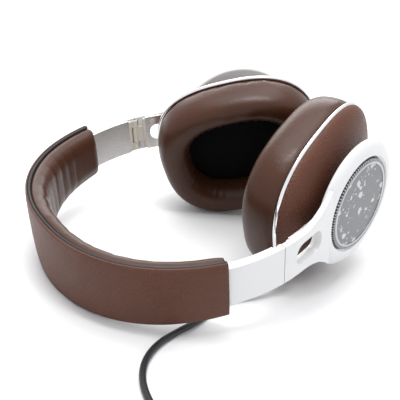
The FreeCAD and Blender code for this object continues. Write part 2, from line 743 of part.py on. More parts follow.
def driver():
    """Driver basket with its magnet at the back."""
    low = BAFFLE_TOP - BAFFLE_THICKNESS
    basket = tube(DRIVER_RADIUS - 1.2, DRIVER_RADIUS, low, BAFFLE_TOP + 0.4)
    flange = tube(0, DRIVER_RADIUS, BAFFLE_TOP + 0.4, BAFFLE_TOP + 1.2)
    magnet = tube(0, 8.0, BAFFLE_TOP + 1.2, BAFFLE_TOP + 5.2)
    return basket.fuse(flange).fuse(magnet).removeSplitter()


def diaphragm():
    """Shallow dome of thin film."""
    low = BAFFLE_TOP - BAFFLE_THICKNESS + 0.6
    rim = tube(0, DRIVER_RADIUS - 1.2 - FIT_GAP, low, low + 0.4)
    centre = Part.makeCone(7.0, 5.0, 0.9, Vector(0, 0, low - 0.9), UP)
    return rim.fuse(centre.mirror(Vector(0, 0, low - 0.45), UP)).removeSplitter()


def baffle_screws():
    """Four screws through the baffle."""
    solids = []
    for x, y in SCREW_PLACES:
        head = Part.makeCylinder(2.2, 1.0, Vector(x, y, BAFFLE_TOP - BAFFLE_THICKNESS - 1.0))
        shank = Part.makeCylinder(SCREW_RADIUS, 4.5, Vector(x, y, BAFFLE_TOP - BAFFLE_THICKNESS - 0.1))
        solids.append(head.fuse(shank).removeSplitter())
    return Part.Compound(solids)


def ear_screen():
    """Black fabric over the driver, inside the cushion's opening."""
    low = BAFFLE_TOP - BAFFLE_THICKNESS - 2.4
    return oval_prism(EAR_HALF_LENGTH + 3.0, EAR_HALF_WIDTH + 3.0, low, low + 0.8)


def ear_cushion():
    """Thick padded ring of smooth leather."""
    top = -TRIM_HALF - 0.05
    bottom = -CUSHION_DEPTH
    half_length, half_width = CUP_HALF_LENGTH, CUP_HALF_WIDTH
    sections = [
        (half_length - 1.2, half_width - 1.2, top),
        (half_length, half_width, top - 5.0),
        (half_length - 0.2, half_width - 0.2, bottom + 9.0),
        (half_length - 2.0, half_width - 2.0, bottom + 3.6),
        (half_length - CUSHION_INSET, half_width - CUSHION_INSET, bottom),
    ]
    body = oval_loft(sections)
    hole = oval_loft([
        (EAR_HALF_LENGTH + 3.4, EAR_HALF_WIDTH + 3.4, top + 3.0),
        (EAR_HALF_LENGTH + 3.4, EAR_HALF_WIDTH + 3.4, BAFFLE_TOP - BAFFLE_THICKNESS - 3.0),
        (EAR_HALF_LENGTH, EAR_HALF_WIDTH, bottom + 12.0),
        (EAR_HALF_LENGTH + 1.0, EAR_HALF_WIDTH + 1.0, bottom + 5.0),
        (EAR_HALF_LENGTH + 6.0, EAR_HALF_WIDTH + 6.0, bottom - 2.0),
    ])
    back = oval_prism(half_length - 2.1, half_width - 2.1, BAFFLE_TOP - BAFFLE_THICKNESS - 1.2, top + 1.0)
    return body.cut(hole).cut(back)


def across(vector):
    return Vector(vector.x, -vector.y, vector.z)


def beyond_contact(side):
    """Block past the plane where the two cushions press on each other, with half the gap."""
    right, left = cup_frame("right"), cup_frame("left")
    right_axis = right.Rotation.multVec(UP)
    left_axis = across(left.Rotation.multVec(UP))
    normal = right_axis - left_axis
    offset = (right_axis.dot(right.Base) - left_axis.dot(across(left.Base))) / normal.Length
    offset += CONTACT_SHIFT
    normal.normalize()
    if side == "left":
        normal = across(normal * -1)
        offset = -offset
    block = Part.makeBox(400, 400, 20, Vector(-200, -200, -20 + 0.5 * CUSHION_GAP))
    return placed(block, Placement(normal * offset, Rotation(UP, normal)))


# ---- lead -------------------------------------------------------------------------------------------
def bend_radii(points):
    """Arc radius at each inner point: as large as its two runs allow."""
    radii = []
    for before, corner, after in zip(points, points[1:], points[2:]):
        shorter = min((corner - before).Length, (after - corner).Length)
        turn = (corner - before).getAngle(after - corner)
        radii.append(0.45 * shorter / tan(0.5 * turn))
    return radii


def cord_path(points):
    """Straight runs joined by tangent arcs."""
    edges = []
    start = points[0]
    for before, corner, after, radius in zip(points, points[1:], points[2:], bend_radii(points)):
        turn = (corner - before).getAngle(after - corner)
        setback = radius * tan(0.5 * turn)
        into = (corner - before).normalize()
        out = (after - corner).normalize()
        arc_start = corner - into * setback
        arc_end = corner + out * setback
        bisector = (out - into).normalize()
        middle = corner + bisector * (radius / cos(0.5 * turn) - radius)
        edges.append(Part.LineSegment(start, arc_start).toShape())
        edges.append(Part.Arc(arc_start, middle, arc_end).toShape())
        start = arc_end
    edges.append(Part.LineSegment(start, points[-1]).toShape())
    return Part.Wire(edges)


def cord_tube(route):
    """Round tube along a route, with its radii and its volume printed."""
    points = [Vector(*point) for point in route]
    path = cord_path(points)
    into = (points[1] - points[0]).normalize()
    section = Part.Wire([Part.makeCircle(CORD_RADIUS, points[0], into)])
    tube_solid = path.makePipeShell([section], True, False)
    expected = pi * CORD_RADIUS**2 * path.Length
    print("cord radii", [round(radius, 1) for radius in bend_radii(points)])
    print("cord run", round(path.Length, 1), "volume", round(tube_solid.Volume, 1), "expected", round(expected, 1))
    return tube_solid


COIL_INNER = COIL_MEAN_RADIUS - 0.5 * COIL_COLUMNS * 2 * CORD_RADIUS
COIL_OUTER = COIL_MEAN_RADIUS + 0.5 * COIL_COLUMNS * 2 * CORD_RADIUS
COIL_TOP = TIE_THICKNESS + COIL_LAYERS * 2 * CORD_RADIUS


def cord_coil():
    """Outer shape of the wound length."""
    body = tube(COIL_INNER, COIL_OUTER, TIE_THICKNESS, COIL_TOP)
    body.translate(Vector(COIL_CENTRE[0], COIL_CENTRE[1], 0))
    return body


def coil_length():
    return 2 * pi * COIL_MEAN_RADIUS * COIL_TURNS


def cord_tie():
    """Strap round the coil on its far side."""
    length = COIL_OUTER - COIL_INNER + 2 * TIE_THICKNESS
    start = Vector(COIL_CENTRE[0] - 0.5 * TIE_WIDTH, COIL_CENTRE[1] + COIL_INNER - TIE_THICKNESS, 0)
    strap = Part.makeBox(TIE_WIDTH, length, COIL_TOP + TIE_THICKNESS, start)
    window_start = start + Vector(-1, TIE_THICKNESS, TIE_THICKNESS)
    window = Part.makeBox(TIE_WIDTH + 2, length - 2 * TIE_THICKNESS, COIL_TOP - TIE_THICKNESS, window_start)
    return strap.cut(window).cut(cord_coil())


def relief_axis():
    """Wide end of the strain relief and the way it points."""
    end = Vector(*CORD_ROUTE[0])
    into = (Vector(*CORD_ROUTE[1]) - end).normalize()
    return end - into * RELIEF_LENGTH, into


def relief_root():
    """Stem of the strain relief, which fills its bore in the cup's wall."""
    back, into = relief_axis()
    length = RELIEF_ROOT_LENGTH + 0.5 * RELIEF_LENGTH
    return Part.makeCylinder(RELIEF_ROOT_RADIUS, length, back - into * RELIEF_ROOT_LENGTH, into)


def strain_relief():
    """Tapered sleeve where the lead leaves the right cup."""
    back, into = relief_axis()
    sleeve = Part.makeCone(RELIEF_WIDE_RADIUS, CORD_RADIUS + 0.5, RELIEF_LENGTH, back, into)
    return sleeve.fuse(relief_root()).removeSplitter()


def plug():
    """Stereo plug with a moulded body, lying beside the coil."""
    start = Vector(*TAIL_ROUTE[-1])
    along = (start - Vector(*TAIL_ROUTE[-2])).normalize()
    along = Vector(along.x, along.y, 0).normalize()
    sleeve = Part.makeCone(CORD_RADIUS + 0.4, PLUG_BODY_RADIUS - 0.5, PLUG_SLEEVE_LENGTH, start, along)
    body_start = start + along * PLUG_SLEEVE_LENGTH
    body = Part.makeCylinder(PLUG_BODY_RADIUS, PLUG_BODY_LENGTH, body_start, along)
    pin_start = body_start + along * PLUG_BODY_LENGTH
    pin = Part.makeCylinder(PLUG_PIN_RADIUS, PLUG_PIN_LENGTH, pin_start, along)
    neck_start = pin_start + along * PLUG_PIN_LENGTH
    neck = Part.makeCylinder(PLUG_PIN_RADIUS - 0.35, 0.8, neck_start, along)
    tip = Part.makeCone(PLUG_PIN_RADIUS, 0.5, PLUG_TIP_LENGTH - 0.8, neck_start + along * 0.8, along)
    middle = pin_start + along * (0.5 * PLUG_PIN_LENGTH)
    print("plug pin middle", [round(v, 3) for v in middle], "axis", [round(v, 5) for v in along])
    return sleeve.fuse(body).fuse(pin).fuse(neck).fuse(tip).removeSplitter()


def lead_nodes():
    return {
        "strain_relief": strain_relief(),
        "cord": Part.Compound([cord_tube(CORD_ROUTE), cord_tube(TAIL_ROUTE)]),
        "cord_coil": cord_coil(),
        "cord_tie": cord_tie(),
        "plug": plug(),
    }


# ---- assembly ---------------------------------------------------------------------------------------
LIE = Placement(Vector(0, 0, 0), Rotation(Vector(1, 0, 0), LIE_ROLL).multiply(Rotation(Vector(0, -1, 0), LIE_TILT)))


def side_nodes(side):
    """Pieces of one side, with the left ones mirrored."""
    fold = folded(side)
    cup = cup_frame(side)
    hub = hub_frame(side)
    pieces = {
        "guide_sleeve": guide_sleeve(),
        "arm_shell": arm_shell(),
        "arm_liner": arm_liner().cut(detent_window()),
        "detent_spring": detent_spring(),
        "hinge_block": hinge_block(),
        "hinge_pin": hinge_pin(),
        "hinge_lever": placed(hinge_lever(), fold),
        "yoke": placed(yoke(), fold),
        "yoke_liner": placed(yoke_liner(), fold),
        "pivot_plate": placed(pivot_plate(), fold),
        "bezel_ring": placed(bezel_ring(), fold),
        "knurled_ring": placed(knurled_ring(), fold),
        "disc_rim": placed(disc_rim(), fold),
        "disc": placed(disc(), fold),
        "gimbal": placed(gimbal(), gimbal_frame(side)),
        "cup_hub": placed(cup_hub(), hub),
        "cup_shell": placed(cup_shell(), cup),
        "trim_ring": placed(trim_ring(), cup),
        "baffle": placed(baffle(), cup),
        "driver": placed(driver(), cup),
        "diaphragm": placed(diaphragm(), cup),
        "baffle_screws": placed(baffle_screws(), cup),
        "ear_screen": placed(ear_screen(), cup),
        "ear_cushion": placed(ear_cushion(), cup).cut(beyond_contact(side)),
    }
    if side == "left":
        pieces = {name: mirrored(shape) for name, shape in pieces.items()}
    return {name + "_" + side: shape for name, shape in pieces.items()}


def object_nodes():
    nodes = {
        "headband_cover": headband_cover(),
        "headband_pad": headband_pad(),
        "headband_frame": headband_frame(),
        "headband_spring": headband_spring(),
        "band_rivets": rivets(RIVET_RADIUS),
        "piping_front": edge_piping(1),
        "piping_back": edge_piping(-1),
    }
    for side in SIDES:
        nodes.update(side_nodes(side))
    return {name: placed(shape, LIE) for name, shape in nodes.items()}


def joint_report(shift):
    """Print each joint's place and axis in the row frame."""
    x, y, heading = curve_state(0.5 * (SHOULDER_END + SIDE_END))
    slide_centre = Vector(x + SIDE_RADIUS * cos(heading), -(y - SIDE_RADIUS * sin(heading)), 0)
    fold_point = curve_point(-HINGE_STATION, HINGE_OFFSET)
    for side in SIDES:
        pivot = gimbal_frame(side)
        tilt_axis = pivot.Rotation.multVec(Vector(-1, 0, 0))
        rows = (
            ("slide", slide_centre, UP),
            ("fold", fold_point, UP),
            ("swivel", pivot.Base, UP),
            ("tilt", pivot.Base, tilt_axis),
        )
        for name, point, axis in rows:
            if side == "left":
                point = Vector(point.x, -point.y, point.z)
                axis = Vector(-axis.x, axis.y, -axis.z)
            place = LIE.multVec(point) + shift
            turned = LIE.Rotation.multVec(axis)
            print("joint", name, side, [round(v, 4) for v in place], [round(v, 6) for v in turned])


def true_box(shapes):
    """Box of the meshed shapes, which is tighter than that of their poles."""
    box = FreeCAD.BoundBox()
    for shape in shapes:
        for vertex in shape.tessellate(0.05)[0]:
            box.add(vertex)
    return box


def main():
    os.makedirs("parts", exist_ok=True)
    nodes = object_nodes()
    box = true_box(nodes.values())
    shift = Vector(-0.5 * (box.XMin + box.XMax), -0.5 * (box.YMin + box.YMax), -box.ZMin)
    print("shift", shift)
    print("size", box.XLength, box.YLength, box.ZLength)
    joint_report(shift)
    for shape in nodes.values():
        shape.translate(shift)
    nodes["cup_shell_right"] = nodes["cup_shell_right"].cut(relief_root())
    lead = lead_nodes()
    lead["strain_relief"] = lead["strain_relief"].cut(nodes["cup_shell_right"])
    print("cord wound in the coil", round(coil_length(), 1))
    nodes.update(lead)
    for name, shape in nodes.items():
        print(name, "solids", len(shape.Solids), "volume", round(shape.Volume, 1), "valid", shape.isValid())
        shape.exportStep("parts/" + name + ".step")


main()
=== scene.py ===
"""Over ear headphones lying on their side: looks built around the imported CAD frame."""
import json
import math

import bmesh
import bpy
import numpy as np
from mathutils import Matrix, Vector

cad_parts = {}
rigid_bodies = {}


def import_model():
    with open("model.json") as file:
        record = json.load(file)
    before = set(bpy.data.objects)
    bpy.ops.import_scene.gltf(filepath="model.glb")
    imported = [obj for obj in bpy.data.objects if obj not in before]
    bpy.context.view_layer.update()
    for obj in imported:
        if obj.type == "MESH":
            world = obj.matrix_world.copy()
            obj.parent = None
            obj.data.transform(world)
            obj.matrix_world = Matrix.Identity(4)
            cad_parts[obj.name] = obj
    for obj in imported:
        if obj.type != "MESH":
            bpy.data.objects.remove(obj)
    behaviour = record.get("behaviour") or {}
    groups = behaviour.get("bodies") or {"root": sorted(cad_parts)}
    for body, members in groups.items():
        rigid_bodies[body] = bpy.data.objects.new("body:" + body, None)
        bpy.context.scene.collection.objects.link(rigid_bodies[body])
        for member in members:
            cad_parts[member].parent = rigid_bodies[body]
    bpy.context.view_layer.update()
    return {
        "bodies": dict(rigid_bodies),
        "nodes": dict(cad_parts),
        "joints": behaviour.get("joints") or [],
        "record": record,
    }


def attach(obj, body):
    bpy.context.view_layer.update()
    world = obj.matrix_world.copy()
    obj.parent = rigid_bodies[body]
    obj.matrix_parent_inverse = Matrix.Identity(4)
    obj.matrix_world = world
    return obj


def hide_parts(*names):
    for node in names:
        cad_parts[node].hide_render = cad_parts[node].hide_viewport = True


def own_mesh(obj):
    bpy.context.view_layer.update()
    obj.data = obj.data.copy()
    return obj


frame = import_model()
NODES = frame["nodes"]
RNG = np.random.default_rng(7)
SIDES = ("right", "left")
MM_PER_METRE = 1000.0
FULL_TURN = 2 * math.pi

# ---- the design frame, in mm: X crown to cups, Y right to left, Z back to front of the head -----------
LIE_TILT, LIE_ROLL = math.radians(10.974), math.radians(2.945)
SHIFT = np.array([-85.488, 0.747, 18.526])
CROWN_RADIUS, SHOULDER_RADIUS, SIDE_RADIUS = 85.5, 66.8, 84.6
CROWN_TURN, SHOULDER_TURN, YOKE_TURN = (math.radians(a) for a in (11.0, 61.0, 107.2))
BAND_HALF_LENGTH = 97.0
BAND_WIDTHS = ((0.0, 18.6), (50.0, 16.3), (BAND_HALF_LENGTH, 14.4))
COVER_WIDTH = 37.0


def lie(points):
    """Design frame in mm to the row frame in metres."""
    p = np.asarray(points, float).reshape(-1, 3)
    x = p[:, 0] * math.cos(LIE_TILT) - p[:, 2] * math.sin(LIE_TILT)
    z = p[:, 0] * math.sin(LIE_TILT) + p[:, 2] * math.cos(LIE_TILT)
    y = p[:, 1] * math.cos(LIE_ROLL) - z * math.sin(LIE_ROLL)
    z = p[:, 1] * math.sin(LIE_ROLL) + z * math.cos(LIE_ROLL)
    return (np.stack([x, y, z], 1) + SHIFT) / MM_PER_METRE


def advance(x, y, heading, radius, turn):
    """Point and heading after one arc of the outer curve."""
    cx, cy = x + radius * math.cos(heading), y - radius * math.sin(heading)
    heading += turn
    return cx - radius * math.cos(heading), cy + radius * math.sin(heading), heading


def curve_state(station):
    """Point and heading at a distance from the crown along the outer curve."""
    x = y = heading = 0.0
    remaining = station
    for radius, turn in (
        (CROWN_RADIUS, CROWN_TURN),
        (SHOULDER_RADIUS, SHOULDER_TURN - CROWN_TURN),
        (SIDE_RADIUS, YOKE_TURN - SHOULDER_TURN),
    ):
        part = min(turn, remaining / radius)
        x, y, heading = advance(x, y, heading, radius, part)
        remaining -= radius * part
    return x + remaining * math.sin(heading), y + remaining * math.cos(heading), heading


def curve_point(station, offset, z):
    """Design point at a signed station (negative on the right), an offset inwards and a height."""
    side = -1.0 if station < 0 else 1.0
    x, y, heading = curve_state(abs(station))
    return (x + offset * math.cos(heading), side * (y - offset * math.sin(heading)), z)


# ---- camera --------------------------------------------------------------------------------------------
CAMERA_PLACE = (-0.200496, -0.279545, 0.20405)
CAMERA_RIGHT = Vector((0.83909, -0.534946, 0.098793))
CAMERA_UP = Vector((0.171745, 0.432823, 0.884968))
SENSOR_WIDTH, LENS_LENGTH = 36.0, 68.358


def make_camera():
    """Camera that looks down across the headband to the cups."""
    data = bpy.data.cameras.new("Camera")
    data.sensor_width = SENSOR_WIDTH
    data.lens = LENS_LENGTH
    camera = bpy.data.objects.new("Camera", data)
    bpy.context.scene.collection.objects.link(camera)
    turn = Matrix((CAMERA_RIGHT, CAMERA_UP, CAMERA_RIGHT.cross(CAMERA_UP))).transposed().to_4x4()
    camera.matrix_world = Matrix.Translation(CAMERA_PLACE) @ turn
    bpy.context.scene.camera = camera


make_camera()


# ---- materials -----------------------------------------------------------------------------------------
class Nodes:
    """Short hand for building a material's node tree."""

    def __init__(self, name):
        self.material = bpy.data.materials.new(name)
        self.material.use_nodes = True
        self.tree = self.material.node_tree
        self.shader = self.tree.nodes["Principled BSDF"]
        self.coords = self.tree.nodes.new("ShaderNodeTexCoord")

    def add(self, kind, **values):
        node = self.tree.nodes.new("ShaderNode" + kind)
        for key, value in values.items():
            if key in node.inputs:
                node.inputs[key].default_value = value
            else:
                setattr(node, key, value)
        return node

    def link(self, start, end):
        self.tree.links.new(start, end)

    def place(self, scale=(1.0, 1.0, 1.0), turn=(0.0, 0.0, 0.0), source="Object", move=(0.0, 0.0, 0.0)):
        mapping = self.add("Mapping")
        mapping.inputs["Location"].default_value = move
        mapping.inputs["Scale"].default_value = scale
        mapping.inputs["Rotation"].default_value = turn
        self.link(self.coords.outputs[source], mapping.inputs["Vector"])
        return mapping.outputs["Vector"]

    def noise(self, vector, scale, detail=4.0, roughness=0.55):
        node = self.add("TexNoise", Scale=scale, Detail=detail, Roughness=roughness)
        self.link(vector, node.inputs["Vector"])
        return node.outputs["Fac"]

    def cells(self, vector, scale, feature="F1"):
        node = self.add("TexVoronoi", feature=feature, Scale=scale)
        self.link(vector, node.inputs["Vector"])
        return node.outputs["Distance"]

    def waves(self, vector, scale, distortion=0.0, direction="X", detail=2.0, detail_scale=1.0):
        node = self.add("TexWave", Scale=scale, Distortion=distortion, Detail=detail, bands_direction=direction)
        node.inputs["Detail Scale"].default_value = detail_scale
        self.link(vector, node.inputs["Vector"])
        return node.outputs["Fac"]

    def angle(self, vector):
        """Share of a full turn round the local Z axis."""
        node = self.add("TexGradient", gradient_type="RADIAL")
        self.link(vector, node.inputs["Vector"])
        return node.outputs["Fac"]

    def span(self, value, low, high, out_low, out_high):
        """The value, moved from one range to another and held inside it."""
        node = self.add("MapRange")
        for key, number in zip(("From Min", "From Max", "To Min", "To Max"), (low, high, out_low, out_high)):
            node.inputs[key].default_value = number
        self.link(value, node.inputs["Value"])
        return node.outputs["Result"]

    def math(self, operation, first, second):
        node = self.add("Math", operation=operation)
        for socket, value in zip(node.inputs, (first, second)):
            if isinstance(value, (int, float)):
                socket.default_value = value
            else:
                self.link(value, socket)
        return node.outputs["Value"]

    def blend(self, factor, first, second):
        node = self.add("Mix", data_type="RGBA")
        sockets = {s.identifier: s for s in node.inputs}
        for key, value in (("Factor_Float", factor), ("A_Color", first), ("B_Color", second)):
            if isinstance(value, (int, float)):
                sockets[key].default_value = value
            elif isinstance(value, tuple):
                sockets[key].default_value = value if len(value) == 4 else (*value, 1.0)
            else:
                self.link(value, sockets[key])
        return {s.identifier: s for s in node.outputs}["Result_Color"]

    def colour(self, value):
        self._set("Base Color", value)

    def rough(self, value):
        self._set("Roughness", value)

    def _set(self, name, value):
        socket = self.shader.inputs[name]
        if isinstance(value, (int, float)):
            socket.default_value = value
        elif isinstance(value, tuple):
            socket.default_value = value if len(value) == 4 else (*value, 1.0)
        else:
            self.link(value, socket)

    def bump(self, heights):
        """Bumps in turn; heights is a list of (value, strength, distance in metres)."""
        normal = None
        for value, strength, distance in heights:
            node = self.add("Bump", Strength=strength, Distance=distance)
            self.link(value, node.inputs["Height"])
            if normal is not None:
                self.link(normal, node.inputs["Normal"])
            normal = node.outputs["Normal"]
        self.link(normal, self.shader.inputs["Normal"])

    def const(self, **values):
        for key, value in values.items():
            self.shader.inputs[key.replace("_", " ")].default_value = value


def outer_leather(name, base, dark, source, pitch, frame=Matrix.Identity(3)):
    """Cross-grained leather: fine ridges pressed in two directions, over a soft pebble grain."""
    n = Nodes(name)
    level = frame.to_euler()
    slant = [(Matrix.Rotation(angle, 3, "Z") @ frame).to_euler() for angle in (0.62, -0.62)]
    unit = n.place(turn=level, source=source)
    first = n.waves(n.place(turn=slant[0], source=source), pitch, 1.8, "X", 2.0, 3.0)
    second = n.waves(n.place(turn=slant[1], source=source), pitch * 0.9, 2.4, "X", 2.0, 3.0)
    grain = n.math("MULTIPLY", first, second)
    pebble = n.cells(unit, pitch * 3.0)
    broad = n.noise(unit, pitch * 0.12, 5.0)
    worn = n.noise(unit, pitch * 0.05, 3.0)
    fine = n.noise(unit, pitch * 8.0, 3.0)
    tint = n.blend(n.span(broad, 0.3, 0.7, 0.0, 1.0), base, dark)
    tint = n.blend(n.span(grain, 0.0, 0.5, 0.5, 0.0), tint, tuple(0.5 * c for c in dark))
    n.colour(tint)
    gloss = n.math("ADD", n.span(fine, 0.3, 0.7, 0.36, 0.5), n.span(worn, 0.35, 0.65, -0.04, 0.05))
    n.rough(gloss)
    n.bump([(broad, 0.25, 0.0006), (pebble, 0.45, 0.0003), (grain, 0.8, 0.0003), (fine, 0.2, 0.00005)])
    n.const(**{"Specular_IOR_Level": 0.27})
    return n.material


def soft_leather(name, base, dark):
    """Smooth protein leather with fine pores and faint creases."""
    n = Nodes(name)
    unit = n.place()
    pores = n.cells(unit, 1500.0)
    creases = n.cells(unit, 700.0, "DISTANCE_TO_EDGE")
    broad = n.noise(unit, 38.0, 4.0)
    fine = n.noise(unit, 900.0, 3.0)
    tint = n.blend(n.span(broad, 0.32, 0.68, 0.0, 1.0), base, dark)
    tint = n.blend(n.span(creases, 0.0, 0.08, 0.22, 0.0), tint, tuple(0.6 * c for c in dark))
    n.colour(tint)
    n.rough(n.span(fine, 0.3, 0.7, 0.27, 0.4))
    n.bump([(broad, 0.3, 0.0014), (creases, 0.3, 0.00016), (pores, 0.35, 0.00008)])
    n.const(**{"Specular_IOR_Level": 0.28})
    return n.material


def lacquer(name, colour, roughness=0.3):
    """Satin lacquer with a hint of orange peel and a soft coat."""
    n = Nodes(name)
    unit = n.place()
    peel = n.noise(unit, 420.0, 2.0)
    broad = n.noise(unit, 30.0, 3.0)
    n.colour(n.blend(n.span(broad, 0.3, 0.7, 0.0, 1.0), colour, tuple(0.965 * c for c in colour)))
    n.rough(n.span(peel, 0.3, 0.7, roughness - 0.04, roughness + 0.05))
    n.bump([(peel, 0.08, 0.00008)])
    n.const(**{"Coat_Weight": 0.25, "Coat_Roughness": 0.2})
    return n.material


def brushed(name, colour, roughness, along=(1.0, 1.0, 1.0)):
    """Metal with fine drawn lines."""
    n = Nodes(name)
    lines = n.noise(n.place(scale=along), 2600.0, 3.0, 0.7)
    broad = n.noise(n.place(), 60.0, 3.0)
    n.colour(n.blend(n.span(lines, 0.3, 0.7, 0.0, 1.0), colour, tuple(0.86 * c for c in colour)))
    streaks = n.span(lines, 0.3, 0.7, roughness - 0.06, roughness + 0.08)
    n.rough(n.math("ADD", streaks, n.span(broad, 0.3, 0.7, -0.02, 0.02)))
    n.bump([(lines, 0.12, 0.00003)])
    n.const(Metallic=1.0)
    return n.material


def polished(name, colour, roughness=0.07):
    """Bright plating with faint handling marks."""
    n = Nodes(name)
    unit = n.place()
    marks = n.noise(unit, 240.0, 5.0, 0.7)
    wave = n.noise(unit, 40.0, 2.0)
    n.colour(n.blend(n.span(marks, 0.4, 0.7, 0.0, 1.0), colour, tuple(0.93 * c for c in colour)))
    n.rough(n.span(marks, 0.35, 0.75, roughness, roughness + 0.07))
    n.bump([(wave, 0.05, 0.0002)])
    n.const(Metallic=1.0)
    return n.material


def moulded(name, colour, roughness=0.55, grain=1400.0):
    """Moulded plastic with a fine spark texture."""
    n = Nodes(name)
    unit = n.place()
    spark = n.noise(unit, grain, 3.0)
    broad = n.noise(unit, 45.0, 3.0)
    n.colour(n.blend(n.span(broad, 0.3, 0.7, 0.0, 1.0), colour, tuple(0.9 * c for c in colour)))
    n.rough(n.span(spark, 0.3, 0.7, roughness - 0.06, roughness + 0.08))
    n.bump([(spark, 0.25, 0.00004)])
    return n.material


def woven(name, colour, pitch=1300.0):
    """Fine black cloth over foam."""
    n = Nodes(name)
    unit = n.place()
    warp = n.waves(unit, pitch, 0.4, "X", 1.0)
    weft = n.waves(unit, pitch, 0.4, "Y", 1.0)
    weave = n.math("MULTIPLY", warp, weft)
    broad = n.noise(unit, 70.0, 3.0)
    n.colour(n.blend(n.span(weave, 0.0, 1.0, 0.0, 1.0), tuple(0.5 * c for c in colour), colour))
    n.rough(n.span(broad, 0.3, 0.7, 0.82, 0.95))
    n.bump([(broad, 0.3, 0.0008), (weave, 0.6, 0.00015)])
    n.const(**{"Specular_IOR_Level": 0.12})
    return n.material


def assign(obj, material):
    """The one material of a piece."""
    obj.data.materials.clear()
    obj.data.materials.append(material)


def pieces(bases):
    """CAD pieces with these names, with or without a side."""
    return [obj for base in bases for name, obj in NODES.items() if name in (base, base + "_right", base + "_left")]


def paint(bases, material):
    for obj in pieces(bases):
        assign(obj, material)


COVER_BROWN, COVER_DARK = (0.120, 0.042, 0.023), (0.098, 0.033, 0.018)
PAD_BROWN, PAD_DARK = (0.056, 0.0195, 0.0095), (0.046, 0.016, 0.0078)
GRAIN_PITCH = 330.0
cover_leather = outer_leather("CoverLeather", COVER_BROWN, COVER_DARK, "UV", GRAIN_PITCH)
pad_leather = soft_leather("PadLeather", PAD_BROWN, PAD_DARK)
piping_leather = moulded("Piping", (0.012, 0.013, 0.016), 0.62, 1800.0)
white = lacquer("WhiteLacquer", (0.655, 0.655, 0.66), 0.36)
silver = brushed("BrushedSilver", (0.86, 0.85, 0.83), 0.32, (0.06, 0.06, 1.0))
cream = moulded("Cream", (0.62, 0.58, 0.50), 0.42)
black = moulded("BlackPlastic", (0.018, 0.018, 0.019), 0.55)
chrome = polished("Chrome", (0.86, 0.86, 0.87), 0.06)
steel = brushed("Steel", (0.45, 0.45, 0.46), 0.34)
bezel_grey = brushed("BezelGrey", (0.50, 0.51, 0.52), 0.26)
rim_grey = polished("DiscRim", (0.46, 0.47, 0.48), 0.16)
screen_cloth = woven("ScreenCloth", (0.0035, 0.0035, 0.0042))
film = polished("Film", (0.3, 0.3, 0.29), 0.25)
edge_paint = moulded("EdgePaint", (0.012, 0.011, 0.011), 0.6, 900.0)
cord_jacket = moulded("CordJacket", (0.012, 0.012, 0.014), 0.42, 2200.0)


def fleck_disc():
    """Mid grey plate with pale worn flecks."""
    n = Nodes("FleckDisc")
    unit = n.place()
    gate = n.noise(unit, 120.0, 2.0)
    large = n.cells(unit, 165.0, "SMOOTH_F1")
    small = n.cells(unit, 420.0, "SMOOTH_F1")
    size = n.span(gate, 0.42, 0.66, 0.0, 0.42)
    large = n.span(n.math("SUBTRACT", size, large), 0.0, 0.03, 0.0, 1.0)
    small = n.span(n.math("SUBTRACT", n.span(gate, 0.45, 0.7, 0.12, 0.36), small), 0.0, 0.03, 0.0, 1.0)
    mask = n.math("MAXIMUM", large, small)
    n.colour(n.blend(mask, (0.155, 0.158, 0.165), (0.52, 0.525, 0.53)))
    n.rough(n.span(mask, 0.0, 1.0, 0.36, 0.5))
    n.bump([(mask, 0.2, 0.0001)])
    n.const(Metallic=0.35)
    return n.material


disc_plate = fleck_disc()

paint(["headband_cover"], cover_leather)
paint(["headband_pad", "ear_cushion"], pad_leather)
paint(["piping_front", "piping_back"], piping_leather)
paint(["headband_frame", "guide_sleeve", "pivot_plate", "gimbal", "cup_hub", "baffle", "cord_tie"], black)
paint(["headband_spring", "detent_spring", "hinge_pin", "baffle_screws", "driver"], steel)
paint(["band_rivets", "trim_ring", "plug"], chrome)
paint(["disc_rim"], rim_grey)
paint(["arm_shell", "yoke"], white)
paint(["arm_liner", "yoke_liner"], silver)
paint(["hinge_block", "hinge_lever"], cream)
paint(["bezel_ring"], bezel_grey)
paint(["disc"], disc_plate)
paint(["diaphragm"], film)
paint(["ear_screen"], screen_cloth)
paint(["strain_relief", "cord", "cord_coil"], cord_jacket)


# ---- soft and covered pieces -----------------------------------------------------------------------------
CUP_HALF_LENGTH, CUP_HALF_WIDTH, CUP_POWER = 44.1, 38.7, 2.0 / 2.6
CONTACT_SHIFT, CONTACT_ROOM, CONTACT_SOFTNESS = -2.15, 0.35, 0.5
RING_COLUMNS, BAND_COLUMNS, PAD_COLUMNS = 144, 161, 241
# section of a cushion in mm: how far in from the oval's edge, and the height above the trim
CUSHION_SECTION = [
    (3.0, -1.05), (1.3, -1.2), (0.75, -2.2), (0.05, -4.4), (-0.15, -8.0), (0.1, -12.0), (1.0, -16.0),
    (3.0, -19.4), (6.2, -21.3), (9.4, -21.5), (12.6, -20.0), (15.0, -17.0), (16.4, -13.0), (16.7, -9.0),
    (15.4, -6.0), (13.3, -5.0), (13.3, -4.1), (4.0, -4.1), (4.0, -1.05),
]
# middle and axes of each cup at rest, in mm: x along the long way of the oval, z out towards the yoke
CUP_FRAMES = {
    "right": (
        (46.039, -34.845, 42.771),
        (0.84906, 0.34537, 0.39978),
        (-0.36648, -0.16001, 0.91656),
        (0.38052, -0.92473, -0.00929),
    ),
    "left": (
        (43.425, 32.059, 43.291),
        (0.76699, -0.54635, 0.33648),
        (-0.42405, -0.03803, 0.90484),
        (0.48156, 0.83669, 0.26085),
    ),
}

